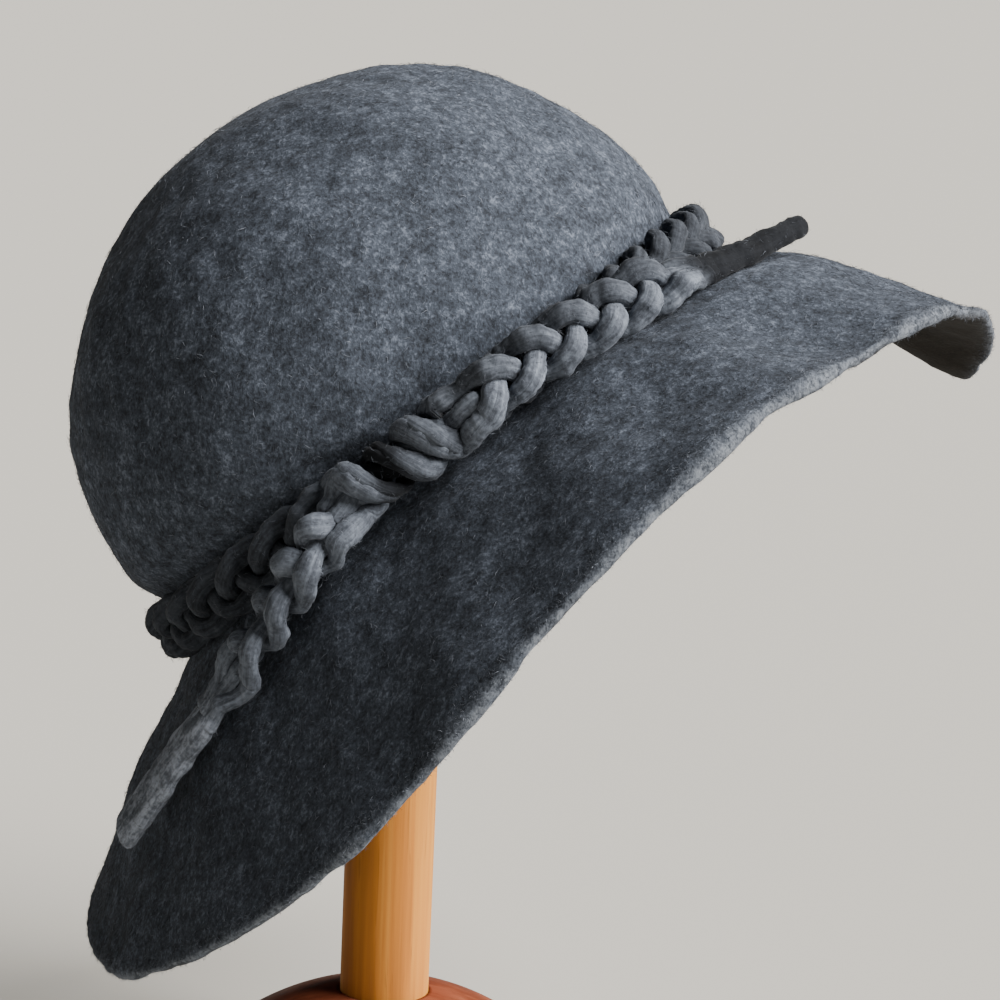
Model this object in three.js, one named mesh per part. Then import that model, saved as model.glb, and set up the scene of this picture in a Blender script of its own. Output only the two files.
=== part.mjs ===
// Wide-brim felt hat with a plaited felt band, resting on a turned wooden stand.
// Sizes are in millimetres and angles in degrees. Azimuths of the hat run from its front, counterclockwise
// seen from above, and heights of the hat are measured from the crease where the crown meets the brim.
import * as THREE from 'three';
import { LoftGeometry } from 'three/addons/geometries/LoftGeometry.js';
import { mergeVertices } from 'three/addons/utils/BufferGeometryUtils.js';

const { clamp, degToRad, lerp, radToDeg, smoothstep } = THREE.MathUtils;

const WELD = 1e-3;

// Felt body: crown and brim are blocked from one piece
const FELT = 3;
const CROWN_LENGTH = 196;
const CROWN_WIDTH = 172.5;
const CROWN_HEIGHT = 118;
const FRONT_SWELL = 4.7;
const WALL_HEIGHT = 28;
const WAIST_PINCH = 3;
const WAIST_HEIGHT = 8;
const DOME_POWER = 2.02;
const CREASE_BEND = 5;
const HAT_COLUMNS = 44;
const DOME_ROWS = 9;
const WALL_ROWS = 2;
const CREASE_ROWS = 2;
const BRIM_ROWS = 7;

// Brim sections: reach of the rim from the axis of the crown, its drop below the crease,
// and how far the section bows up from a straight line, most of all a third of the way out
const BOW_SCALE = 27 / 4;
const BRIM = [
  { azimuth: 0, reach: 175, drop: 63, bow: 2.5 },
  { azimuth: 30, reach: 164, drop: 63.5, bow: 1.8 },
  { azimuth: 60, reach: 150, drop: 45, bow: 2 },
  { azimuth: 90, reach: 145, drop: 36, bow: 5 },
  { azimuth: 106, reach: 144, drop: 41, bow: 6.5 },
  { azimuth: 120, reach: 149, drop: 45.5, bow: 8 },
  { azimuth: 130, reach: 151, drop: 51, bow: 9 },
  { azimuth: 140, reach: 152.5, drop: 58, bow: 9 },
  { azimuth: 150, reach: 151.5, drop: 66.5, bow: 8.5 },
  { azimuth: 160, reach: 150, drop: 74.5, bow: 10 },
  { azimuth: 166, reach: 148.5, drop: 76.5, bow: 12 },
  { azimuth: 172, reach: 150, drop: 60, bow: 12 },
  { azimuth: 182, reach: 150, drop: 53, bow: 10 },
  { azimuth: 200, reach: 148, drop: 48, bow: 6 },
  { azimuth: 225, reach: 149, drop: 48, bow: 2 },
  { azimuth: 250, reach: 150, drop: 44, bow: 1 },
  { azimuth: 270, reach: 152, drop: 39, bow: 1 },
  { azimuth: 300, reach: 161, drop: 34, bow: 1.4 },
  { azimuth: 330, reach: 172, drop: 46, bow: 2 },
];

// Place of the hat on its stand
const HAT_TILT = 38.8;
const HAT_LEAN = 6.4;
const HAT_TURN = 210.6;
const CREASE_CENTRE = new THREE.Vector3(14.6, -2, 202);

// Plait: three felt strands that swing across its width and rise and fall through its thickness
const STRAND_WIDTH = 5.4;
const STRAND_THICKNESS = 4;
const STRAND_SIDES = 6;
const PLAIT_SWING = 5.8;
const PLAIT_RISE = 3.2;
const LANE_SWING = 7;
const LANE_ZONE = 5;
const STEPS_PER_TURN = 9;
const PLAIN_STEP = 3.4;
const TAIL_NECK = 0.5;
const TAIL_WIDENING = 5;

// Half knot: the two arms of the plait twist about each other once and a half
const KNOT = { azimuth: 54.2, out: 11.5, up: 8.4 };
const KNOT_SPAN = 18;
const KNOT_TWIST = -540;
const KNOT_RADIUS = 2.7;
const KNOT_STEPS = 12;
const KNOT_START = KNOT.azimuth - KNOT_SPAN / 2;
const KNOT_PASSES = [
  { start: KNOT_START, side: 1 },
  { start: KNOT_START + 360, side: -1 },
];

// Middle line of the plait, from the tip of the left tail to the knot, round the crown to the knot again,
// and on to the tip of the right tail: out from the waist, up from the crease, and how far its flat side
// leans up from facing outwards
const LEFT_TAIL_TIP = -3;
const LEFT_ARM_END = 16;
const LEFT_TAIL = { width: 12.4, thickness: 7 };
const RIGHT_ARM_END = 473;
const RIGHT_TAIL_TIP = 496;
const RIGHT_TAIL = { width: 9.8, thickness: 7.4 };
const BAND = { out: 6, up: 8.5 };
const LEFT_ARM = [
  { azimuth: LEFT_TAIL_TIP, out: 57.4, up: -30.6, face: 50 },
  { azimuth: 6, out: 43, up: -22.2, face: 50 },
  { azimuth: 12.5, out: 34.5, up: -16.8, face: 50 },
  { azimuth: 16.5, out: 30.4, up: -13.4, face: 50 },
  { azimuth: 20, out: 28, up: -11, face: 50 },
  { azimuth: 25, out: 23.5, up: -6.5, face: 50 },
  { azimuth: 31, out: 22.5, up: -1.7, face: 42 },
  { azimuth: 39, out: 20, up: 3.8, face: 15 },
  { azimuth: KNOT_START, out: KNOT.out + KNOT_RADIUS, up: KNOT.up, face: 0 },
];
const ROUND_CROWN = [
  { azimuth: KNOT_START + KNOT_SPAN, out: KNOT.out - KNOT_RADIUS, up: KNOT.up, face: 0 },
  { azimuth: 76, ...BAND, face: 0 },
  { azimuth: 90, ...BAND, face: 0 },
  { azimuth: 230, ...BAND, face: 0 },
  { azimuth: 290, out: 6.5, up: 7.4, face: 4 },
  { azimuth: 330, out: 7, up: 6.6, face: 0 },
  { azimuth: 364, out: 7.1, up: 6.8, face: -7 },
  { azimuth: 380, out: 7, up: 7.4, face: -8 },
  { azimuth: 392, out: 7, up: 7.8, face: -6 },
  { azimuth: KNOT_START + 360, out: KNOT.out - KNOT_RADIUS, up: KNOT.up, face: 0 },
];
const RIGHT_ARM = [
  { azimuth: KNOT_START + KNOT_SPAN + 360, out: KNOT.out + KNOT_RADIUS, up: KNOT.up, face: 0 },
  { azimuth: 428, out: 18.6, up: 9, face: 0 },
  { azimuth: 438, out: 17.6, up: 9.8, face: 0 },
  { azimuth: 448, out: 17.6, up: 8.5, face: 5 },
  { azimuth: 458, out: 17.8, up: 6.6, face: 15 },
  { azimuth: 469, out: 18.4, up: 4.6, face: 25 },
  { azimuth: 476, out: 20, up: 1, face: 22 },
  { azimuth: 484, out: 25, up: -2.8, face: 14 },
  { azimuth: RIGHT_TAIL_TIP, out: 36.5, up: -6.8, face: 6 },
];
const PLAITED = [
  { from: 20, to: 41, turns: 7 / 6 },
  { from: 68.5, to: 400, turns: 40 / 3 },
  { from: 428.5, to: 469, turns: 5 / 3 },
];
const STRANDS = [
  { name: 'plait_strand_1', phase: 0, from: LEFT_TAIL_TIP, to: RIGHT_ARM_END },
  { name: 'plait_strand_2', phase: 1 / 3, from: LEFT_ARM_END, to: RIGHT_TAIL_TIP },
  { name: 'plait_strand_3', phase: 2 / 3, from: LEFT_ARM_END, to: RIGHT_ARM_END },
];

// Wooden stand: domed base, round post and rounded head under the crown
const BASE_RADIUS = 58;
const BASE_EDGE = 7;
const BASE_RISE = 25;
const BASE_CHAMFER = 2;
const POST_RADIUS = 13.75;
const HEAD_RADIUS = 42;
const HEAD_SKIRT = 16;
const SOCKET_DEPTH = 16;
const JOINT_GAP = 0.3;
const SEAT_GAP = 0.9;
const STAND_SIDES = 26;
const ARC_STEPS = 6;
const SKIRT_STEPS = 2;

// Finishes
const CHARCOAL_FELT = { color: 0x4a4c51, roughness: 0.95 };
const PLAIT_FELT = { color: 0x5d6167, roughness: 0.95 };
const HONEY_WOOD = { color: 0xd2a262, roughness: 0.45 };
const BROWN_WOOD = { color: 0x9a6242, roughness: 0.35 };

/** Smooth values between the rows of a table, looked up by azimuth. */
function along(rows, columns) {
  const azimuths = rows.map((row) => row.azimuth);
  const values = rows.flatMap((row) => columns.map((name) => row[name]));
  const spline = new THREE.CubicInterpolant(azimuths, values, columns.length);
  return (azimuth) => {
    const found = spline.evaluate(azimuth);
    return Object.fromEntries(columns.map((name, i) => [name, found[i]]));
  };
}

/** A loft with its seams welded and the empty triangles at its poles left out. */
function closedLoft(sections, options) {
  const loft = new LoftGeometry(sections, options);
  const bare = new THREE.BufferGeometry();
  bare.setIndex(loft.index);
  bare.setAttribute('position', loft.getAttribute('position'));
  const welded = mergeVertices(bare, WELD);
  const corners = Array.from(welded.index.array);
  const kept = [];
  for (let i = 0; i < corners.length; i += 3) {
    const [a, b, c] = corners.slice(i, i + 3);
    if (a !== b && b !== c && c !== a) {
      kept.push(a, b, c);
    }
  }
  welded.setIndex(kept);
  welded.computeVertexNormals();
  return welded;
}

/** Point of the hat at an azimuth, a distance from its axis and a height. */
function hatPoint(azimuth, radius, height) {
  const angle = degToRad(azimuth);
  return new THREE.Vector3(radius * Math.cos(angle), radius * Math.sin(angle), height);
}

/** Oval on which the crown is blocked, longer than it is wide: its distance from the axis. */
function ovalRadius(azimuth) {
  const angle = degToRad(azimuth);
  const lengthwise = Math.cos(angle) / (CROWN_LENGTH / 2);
  const crosswise = Math.sin(angle) / (CROWN_WIDTH / 2);
  return 1 / Math.hypot(lengthwise, crosswise);
}

/** Distance of the crown's outer wall from the axis, at its widest: the oval, fuller towards the front. */
function wallRadius(azimuth) {
  return ovalRadius(azimuth) + FRONT_SWELL * Math.max(Math.cos(degToRad(azimuth)), 0) ** 2;
}

/** Distance of the outer wall from the axis under the plait, which draws it in. */
function waistRadius(azimuth) {
  return ovalRadius(azimuth) - WAIST_PINCH;
}

const brimAt = along(
  [-360, 0, 360].flatMap((turn) => BRIM.map((row) => ({ ...row, azimuth: row.azimuth + turn }))),
  ['reach', 'drop', 'bow'],
);

/** Outer line of the felt at one azimuth, from the top of the dome to the rim, as (radius, height) points. */
function feltLine(azimuth) {
  const wall = wallRadius(azimuth);
  const waist = waistRadius(azimuth);
  const { reach, drop, bow } = brimAt(azimuth);
  const chord = new THREE.Vector2(reach - waist, -drop);
  const upward = new THREE.Vector2(drop, reach - waist).normalize();
  const brimPoint = (part) => new THREE.Vector2(waist, 0)
    .addScaledVector(chord, part)
    .addScaledVector(upward, BOW_SCALE * bow * part * (1 - part) ** 2);
  const points = [];
  for (let i = 0; i <= DOME_ROWS; i++) {
    const angle = (Math.PI / 2) * (1 - i / DOME_ROWS);
    const radius = wall * Math.max(Math.cos(angle), 0) ** (2 / DOME_POWER);
    const height = WALL_HEIGHT + (CROWN_HEIGHT - WALL_HEIGHT) * Math.sin(angle) ** (2 / DOME_POWER);
    points.push(new THREE.Vector2(i === 0 ? 0 : radius, height));
  }
  for (let i = 1; i <= WALL_ROWS; i++) {
    const part = i / WALL_ROWS;
    const radius = lerp(wall, waist, smoothstep(part, 0, 1));
    points.push(new THREE.Vector2(radius, lerp(WALL_HEIGHT, WAIST_HEIGHT, part)));
  }
  const bendEnd = CREASE_BEND / chord.length();
  const crease = new THREE.QuadraticBezierCurve(
    new THREE.Vector2(waist, CREASE_BEND),
    new THREE.Vector2(waist, 0),
    brimPoint(bendEnd),
  );
  points.push(...crease.getPoints(CREASE_ROWS));
  for (let i = 1; i <= BRIM_ROWS; i++) {
    points.push(brimPoint(lerp(bendEnd, 1, i / BRIM_ROWS)));
  }
  return points;
}

/** The same line on the inside of the felt, one thickness in. */
function innerLine(outer) {
  return outer.map((point, i) => {
    if (i === 0) {
      return new THREE.Vector2(0, point.y - FELT);
    }
    const before = outer[i - 1];
    const after = outer[Math.min(i + 1, outer.length - 1)];
    const run = after.clone().sub(before).normalize();
    return new THREE.Vector2(point.x + FELT * run.y, point.y - FELT * run.x);
  });
}

/** Rings of points round the hat, for the outer or the inner side, from the top to the rim. */
function feltRings(lineAt) {
  const columns = Array.from({ length: HAT_COLUMNS }, (_, i) => (360 * i) / HAT_COLUMNS);
  const lines = columns.map(lineAt);
  return lines[0].map((_, row) => columns.map(
    (azimuth, i) => hatPoint(azimuth, lines[i][row].x, lines[i][row].y),
  ));
}

const outerRings = feltRings(feltLine);
const innerRings = feltRings((azimuth) => innerLine(feltLine(azimuth)));

/** Crown and brim as one closed wall of felt, with the cut edge at the rim. */
function hatBody() {
  return closedLoft([...innerRings, ...outerRings.toReversed()]);
}

const routes = [LEFT_ARM, ROUND_CROWN, RIGHT_ARM].map((rows) => along(rows, ['out', 'up', 'face']));

/** Middle of the plait at an azimuth: where it lies, and the way its flat side faces. */
function plaitMiddle(azimuth) {
  const pass = KNOT_PASSES.findLast(({ start }) => azimuth >= start);
  if (!pass) {
    return routes[0](azimuth);
  }
  const turned = KNOT_TWIST * KNOT_PASSES.indexOf(pass);
  const part = clamp((azimuth - pass.start) / KNOT_SPAN, 0, 1);
  if (part < 1) {
    const angle = degToRad(KNOT_TWIST * part);
    return {
      out: KNOT.out + pass.side * KNOT_RADIUS * Math.cos(angle),
      up: KNOT.up + pass.side * KNOT_RADIUS * Math.sin(angle),
      face: turned + KNOT_TWIST * part,
    };
  }
  const { out, up, face } = routes[KNOT_PASSES.indexOf(pass) + 1](azimuth);
  return { out, up, face: face + turned + KNOT_TWIST };
}

/** Turns of plaiting made up to an azimuth, and how far the strands there lie side by side in lanes. */
function plaiting(azimuth) {
  const turns = PLAITED.reduce(
    (sum, { from, to, turns: made }) => sum + made * clamp((azimuth - from) / (to - from), 0, 1),
    0,
  );
  const away = Math.min(...PLAITED.map(({ from, to }) => Math.max(from - azimuth, azimuth - to, 0)));
  return { turns, lanes: smoothstep(away, 0, LANE_ZONE) };
}

/** Azimuths of a strand's sections: close together in the plait and the knot, wider apart elsewhere. */
function strandAzimuths({ from, to }) {
  const plaitedSteps = (turns) => Math.ceil(turns * STEPS_PER_TURN) + 1;
  const stops = [
    ...PLAITED.map(({ from: start, to: end, turns }) => ({ start, end, steps: plaitedSteps(turns) })),
    ...KNOT_PASSES.map(({ start }) => ({ start, end: start + KNOT_SPAN, steps: KNOT_STEPS })),
  ].sort((a, b) => a.start - b.start);
  const azimuths = [from];
  const addRun = (end, steps) => {
    const start = azimuths.at(-1);
    for (let i = 1; i <= steps; i++) {
      azimuths.push(lerp(start, end, i / steps));
    }
  };
  for (const { start, end, steps } of stops) {
    addRun(start, Math.ceil((start - azimuths.at(-1)) / PLAIN_STEP));
    addRun(end, steps);
  }
  addRun(to, Math.ceil((to - azimuths.at(-1)) / PLAIN_STEP));
  return azimuths;
}

/** One section of a strand: an ellipse in the upright plane through the axis of the hat at that azimuth. */
function strandSection(strand, azimuth) {
  const middle = plaitMiddle(azimuth);
  const { turns, lanes } = plaiting(azimuth);
  const angle = 2 * Math.PI * (turns + strand.phase);
  const across = lerp(PLAIT_SWING, LANE_SWING, Math.sin((lanes * Math.PI) / 2)) * Math.sin(angle);
  const through = -PLAIT_RISE * Math.cos((lanes * Math.PI) / 2) * Math.sin(2 * angle);
  const intoTail = Math.max(LEFT_ARM_END - azimuth, azimuth - RIGHT_ARM_END, 0);
  const part = smoothstep(intoTail, TAIL_NECK, TAIL_WIDENING);
  const tail = azimuth < LEFT_ARM_END ? LEFT_TAIL : RIGHT_TAIL;
  const width = lerp(STRAND_WIDTH, tail.width, part);
  const thickness = lerp(STRAND_THICKNESS, tail.thickness, part);
  const face = degToRad(middle.face);
  const facing = new THREE.Vector2(Math.cos(face), Math.sin(face));
  const sideways = new THREE.Vector2(-Math.sin(face), Math.cos(face));
  return Array.from({ length: STRAND_SIDES }, (_, i) => {
    const corner = (-2 * Math.PI * i) / STRAND_SIDES;
    const place = new THREE.Vector2(middle.out, middle.up)
      .addScaledVector(sideways, across + (width / 2) * Math.sin(corner))
      .addScaledVector(facing, through + (thickness / 2) * Math.cos(corner));
    return hatPoint(azimuth, waistRadius(azimuth) + place.x, place.y);
  });
}

/** One strand of the plait from end to end. */
function plaitStrand(strand) {
  const sections = strandAzimuths(strand).map((azimuth) => strandSection(strand, azimuth));
  return closedLoft(sections, { capStart: true, capEnd: true });
}

/** Point of a profile at a distance from the axis and a height. */
function at(radius, height) {
  return new THREE.Vector2(radius, height);
}

/** Points of a round arc in the profile plane, between two angles measured from the radius. */
function arc(radius, middle, from, to, steps) {
  return Array.from({ length: steps + 1 }, (_, i) => {
    const angle = degToRad(lerp(from, to, i / steps));
    return at(radius * Math.cos(angle), middle + radius * Math.sin(angle));
  });
}

/** A turned piece: a profile that runs from the axis to the axis, spun round the upright axis. */
function turned(profile) {
  const lathe = new THREE.LatheGeometry(profile, STAND_SIDES);
  lathe.rotateX(Math.PI / 2);
  return lathe;
}

const domeRadius = (BASE_RADIUS ** 2 + BASE_RISE ** 2) / (2 * BASE_RISE);
const domeMiddle = BASE_EDGE + BASE_RISE - domeRadius;
const socketRadius = POST_RADIUS + JOINT_GAP;
const socketMouth = domeMiddle + Math.sqrt(domeRadius ** 2 - socketRadius ** 2);
const postFoot = socketMouth - SOCKET_DEPTH + JOINT_GAP;

/** Base: a flat underside, a short upright edge, a domed top and a socket for the post. */
function standBase() {
  const angleAt = (radius) => radToDeg(Math.acos(radius / domeRadius));
  return turned([
    at(0, 0),
    at(BASE_RADIUS - BASE_CHAMFER, 0),
    at(BASE_RADIUS, BASE_CHAMFER),
    ...arc(domeRadius, domeMiddle, angleAt(BASE_RADIUS), angleAt(socketRadius), ARC_STEPS),
    at(socketRadius, socketMouth - SOCKET_DEPTH),
    at(0, socketMouth - SOCKET_DEPTH),
  ]);
}

const hat = new THREE.Group();
hat.rotation.set(degToRad(-HAT_LEAN), degToRad(-HAT_TILT), degToRad(HAT_TURN), 'XYZ');
hat.position.copy(CREASE_CENTRE);
hat.updateMatrixWorld(true);

/** Height of the middle of the stand's head when the inside of the crown just rests on it. */
function seatHeight() {
  const reach = HEAD_RADIUS + SEAT_GAP;
  const heights = innerRings.flat().map((point) => {
    const place = hat.localToWorld(point.clone());
    const aside = Math.hypot(place.x, place.y);
    return aside < reach ? place.z - Math.sqrt(reach ** 2 - aside ** 2) : Infinity;
  });
  return Math.min(...heights);
}

const headMiddle = seatHeight();
const headFoot = headMiddle - HEAD_SKIRT;
const postTop = headFoot + SOCKET_DEPTH - JOINT_GAP;

/** Post: a plain round stick between the two sockets. */
function standPost() {
  return turned([at(0, postFoot), at(POST_RADIUS, postFoot), at(POST_RADIUS, postTop), at(0, postTop)]);
}

/** Head: a rounded knob with a flat underside and a socket for the post. */
function standHead() {
  const skirt = -radToDeg(Math.asin(HEAD_SKIRT / HEAD_RADIUS));
  return turned([
    at(0, headFoot + SOCKET_DEPTH),
    at(socketRadius, headFoot + SOCKET_DEPTH),
    at(socketRadius, headFoot),
    ...arc(HEAD_RADIUS, headMiddle, skirt, 0, SKIRT_STEPS),
    ...arc(HEAD_RADIUS, headMiddle, 0, 90, ARC_STEPS).slice(1, -1),
    at(0, headMiddle + HEAD_RADIUS),
  ]);
}

/** A named piece with its own finish. */
function piece(name, geometry, finish) {
  const mesh = new THREE.Mesh(geometry, new THREE.MeshStandardMaterial(finish));
  mesh.name = name;
  return mesh;
}

hat.add(piece('hat_body', hatBody(), CHARCOAL_FELT));
for (const strand of STRANDS) {
  hat.add(piece(strand.name, plaitStrand(strand), PLAIT_FELT));
}

const hatOnStand = new THREE.Group();
hatOnStand.add(hat);
hatOnStand.add(piece('stand_base', standBase(), BROWN_WOOD));
hatOnStand.add(piece('stand_post', standPost(), HONEY_WOOD));
hatOnStand.add(piece('stand_head', standHead(), HONEY_WOOD));

export default hatOnStand;
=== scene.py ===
"""Looks of a wide-brim felt hat with a plaited felt band, resting tilted on a turned wooden stand.

Sizes are in millimetres and angles in degrees until a mesh is made, which is in metres. Azimuths of the
hat run from its front, counterclockwise seen from above, and its heights are measured from the crease
between crown and brim.
"""
import logging
import math
from dataclasses import dataclass, field
from enum import Enum
from typing import Any, Mapping, Sequence

import bpy
import numpy as np
from mathutils import Matrix, Vector


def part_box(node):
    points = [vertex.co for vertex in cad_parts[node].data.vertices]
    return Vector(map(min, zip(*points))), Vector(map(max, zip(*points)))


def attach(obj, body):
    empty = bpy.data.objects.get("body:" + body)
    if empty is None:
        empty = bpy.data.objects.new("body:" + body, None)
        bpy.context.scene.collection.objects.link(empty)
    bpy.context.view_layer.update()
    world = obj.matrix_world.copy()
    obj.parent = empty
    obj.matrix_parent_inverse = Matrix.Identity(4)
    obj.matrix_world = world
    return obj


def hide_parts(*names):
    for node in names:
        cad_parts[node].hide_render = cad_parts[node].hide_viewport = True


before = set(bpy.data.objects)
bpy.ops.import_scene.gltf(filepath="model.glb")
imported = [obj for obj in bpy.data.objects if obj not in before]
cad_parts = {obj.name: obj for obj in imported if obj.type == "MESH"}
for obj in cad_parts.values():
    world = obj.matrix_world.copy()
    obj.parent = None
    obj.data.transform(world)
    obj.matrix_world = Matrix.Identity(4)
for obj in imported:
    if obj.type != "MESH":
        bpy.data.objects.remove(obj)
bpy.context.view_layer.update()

LOG = logging.getLogger("felt_hat")
MM = 0.001
BODY = "root"
UP = np.array([0.0, 0.0, 1.0])
Array = np.ndarray
Tree = bpy.types.NodeTree
Stops = tuple[tuple[float, str], ...]
Span = tuple[float, float]


def linear(colour: str) -> tuple[float, float, float, float]:
    """Turns an sRGB hex colour into linear light.

    Args:
        colour: six hex digits, two for each of red, green and blue.

    Returns:
        Linear red, green, blue and an alpha of one.
    """
    parts = [int(colour[i:i + 2], 16) / 255 for i in (0, 2, 4)]
    red, green, blue = (p / 12.92 if p <= 0.04045 else ((p + 0.055) / 1.055) ** 2.4 for p in parts)
    return red, green, blue, 1.0


def add_node(tree: Tree, kind: str, values: Mapping[Any, Any] | None = None,
             links: Mapping[Any, Any] | None = None, **settings: Any) -> bpy.types.Node:
    """Adds one shader node with its settings, socket values and links.

    Args:
        tree: node tree of a material or a world.
        kind: Blender's name of the node's type, without the ShaderNode that it starts with.
        values: input sockets and the constants that they hold.
        links: input sockets and the output sockets that feed them.
        **settings: properties of the node itself.

    Returns:
        The new node.
    """
    node = tree.nodes.new(f"ShaderNode{kind}")
    for name, setting in settings.items():
        setattr(node, name, setting)
    for socket, value in (values or {}).items():
        node.inputs[socket].default_value = value
    for socket, source in (links or {}).items():
        tree.links.new(source, node.inputs[socket])
    return node


def new_material(name: str) -> tuple[bpy.types.Material, Tree]:
    """Makes an empty node material.

    Args:
        name: what the real material is.

    Returns:
        The material and its node tree.
    """
    material = bpy.data.materials.new(name)
    material.use_nodes = True
    material.node_tree.nodes.clear()
    return material, material.node_tree


def add_surface(tree: Tree, values: Mapping[str, Any], links: Mapping[str, Any] | None = None) -> None:
    """Adds a material's shader, with its constants and the sockets that feed it, and its output."""
    shader = add_node(tree, "BsdfPrincipled", values, links)
    add_node(tree, "OutputMaterial", links={"Surface": shader.outputs["BSDF"]})


def add_ramp(tree: Tree, share: Any, stops: Stops) -> Any:
    """Adds a colour ramp.

    Args:
        tree: node tree of the material.
        share: socket of the place on the ramp.
        stops: places from 0 to 1 with hex colours.

    Returns:
        The socket of the colour.
    """
    ramp = add_node(tree, "ValToRGB", links={"Fac": share})
    elements = ramp.color_ramp.elements
    while len(elements) < len(stops):
        elements.new(1.0)
    for element, (place, colour) in zip(elements, stops):
        element.position = place
        element.color = linear(colour)
    return ramp.outputs["Color"]


def remap(tree: Tree, value: Any, span: Span, target: Span) -> Any:
    """Carries a socket's values from one span to another, no further than its ends, and gives the socket."""
    values = dict(zip(("From Min", "From Max", "To Min", "To Max"), span + target))
    return add_node(tree, "MapRange", values, {"Value": value}).outputs["Result"]


def blend(tree: Tree, layers: Sequence[tuple[Any, float]]) -> Any:
    """Adds patterns, each times its weight.

    Args:
        tree: node tree of the material.
        layers: output sockets with their weights.

    Returns:
        The socket of the sum.
    """
    total: Any = None
    for socket, weight in layers:
        values = {1: weight} if total is not None else {1: weight, 2: 0.0}
        links = {0: socket} if total is None else {0: socket, 2: total}
        total = add_node(tree, "Math", values, links, operation="MULTIPLY_ADD").outputs[0]
    return total


def over(tree: Tree, colour: Any, tone: str, mark: str, grey: Any, patchy: float = 0.0) -> Any:
    """Lays a tone over a colour where a mark of the mesh is set, and lets the mottling show through it.

    Args:
        tree: node tree of the material.
        colour: socket of the colour below.
        tone: hex colour of the layer.
        mark: name of the mesh's mark.
        grey: socket of the mottling.
        patchy: how far the layer breaks up where the mottling is dark, from 0 to 1.

    Returns:
        The socket of the new colour.
    """
    where = add_node(tree, "Attribute", attribute_name=mark).outputs["Fac"]
    whole = remap(tree, grey, (0.44, 0.56), (1.0 - patchy, 1.0))
    where = add_node(tree, "Math", links={0: where, 1: whole}, operation="MULTIPLY").outputs[0]
    shade = remap(tree, grey, (0.3, 0.7), (0.45, 1.3))
    mottled = add_node(tree, "Mix", {"Factor": 1.0, "A": linear(tone)}, {"B": shade},
                       data_type="RGBA", blend_type="MULTIPLY").outputs["Result"]
    return add_node(tree, "Mix", links={"Factor": where, "A": colour, "B": mottled},
                    data_type="RGBA").outputs["Result"]


def add_object(name: str, data: bpy.types.ID) -> bpy.types.Object:
    """Adds an object at the origin to the scene and gives it back."""
    bpy.context.scene.collection.objects.link(obj := bpy.data.objects.new(name, data))
    return obj


def smoothstep(values: Array, low: float, high: float) -> Array:
    """Eases from 0 at low to 1 at high by 3t^2 - 2t^3."""
    t = np.clip((values - low) / (high - low), 0.0, 1.0)
    return t * t * (3.0 - 2.0 * t)


def unit(vectors: Array) -> Array:
    """Scales each vector of the last axis to length one."""
    return vectors / np.maximum(np.linalg.norm(vectors, axis=-1, keepdims=True), 1e-9)


@dataclass(frozen=True)
class Table:
    """Named columns of values at rising azimuths, with the azimuth first in each row."""

    columns: tuple[str, ...]
    rows: tuple[tuple[float, ...], ...]

    def all_round(self) -> "Table":
        """The same table with a turn before and a turn after it, for what closes on itself."""
        rows = ((row[0] + turn, *row[1:]) for turn in (-360, 0, 360) for row in self.rows)
        return Table(self.columns, tuple(rows))

    def at(self, column: str, places: Array) -> Array:
        """Smooth values between the rows.

        Between two rows it is the cubic that passes through both. Its slope at a row is the mean of the
        slopes of the straight lines to the two neighbouring rows, and at the table's ends the slope of the
        last line.

        Args:
            column: name of the column.
            places: azimuths to look up.

        Returns:
            The column's value at each place.
        """
        grid = np.array(self.rows, float)
        t, v = grid[:, 0], grid[:, 1 + self.columns.index(column)]
        lines = np.diff(v) / np.diff(t)
        slopes = np.concatenate([lines[:1], (lines[:-1] + lines[1:]) / 2, lines[-1:]])
        i = np.clip(np.searchsorted(t, places, side="right") - 1, 0, len(t) - 2)
        step = t[i + 1] - t[i]
        p = (places - t[i]) / step
        return (v[i] * (1 + 2 * p) * (1 - p) ** 2 + slopes[i] * step * p * (1 - p) ** 2
                + v[i + 1] * p * p * (3 - 2 * p) + slopes[i + 1] * step * p * p * (p - 1))


@dataclass(frozen=True)
class Lumps:
    """Smooth unevenness of a hand-made surface.

    It is the sum of plane waves in seeded random directions, whose lengths lie around one size and whose
    sum spreads by about one height.
    """

    height: float
    size: float
    seed: int
    waves: int = 28

    def at(self, points: Array) -> Array:
        """Finds the unevenness at places.

        Args:
            points: places in millimetres, with x, y, z on the last axis.

        Returns:
            Values around zero.
        """
        rng = np.random.default_rng(self.seed)
        directions = unit(rng.normal(size=(self.waves, 3))) * rng.uniform(0.7, 1.4, (self.waves, 1))
        phases = rng.uniform(0, 2 * np.pi, self.waves)
        total = np.zeros(points.shape[:-1])
        for direction, phase in zip(directions, phases):
            total += np.cos(points @ direction * (2 * np.pi / self.size) + phase)
        return self.height * (total * math.sqrt(2 / self.waves))


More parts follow.
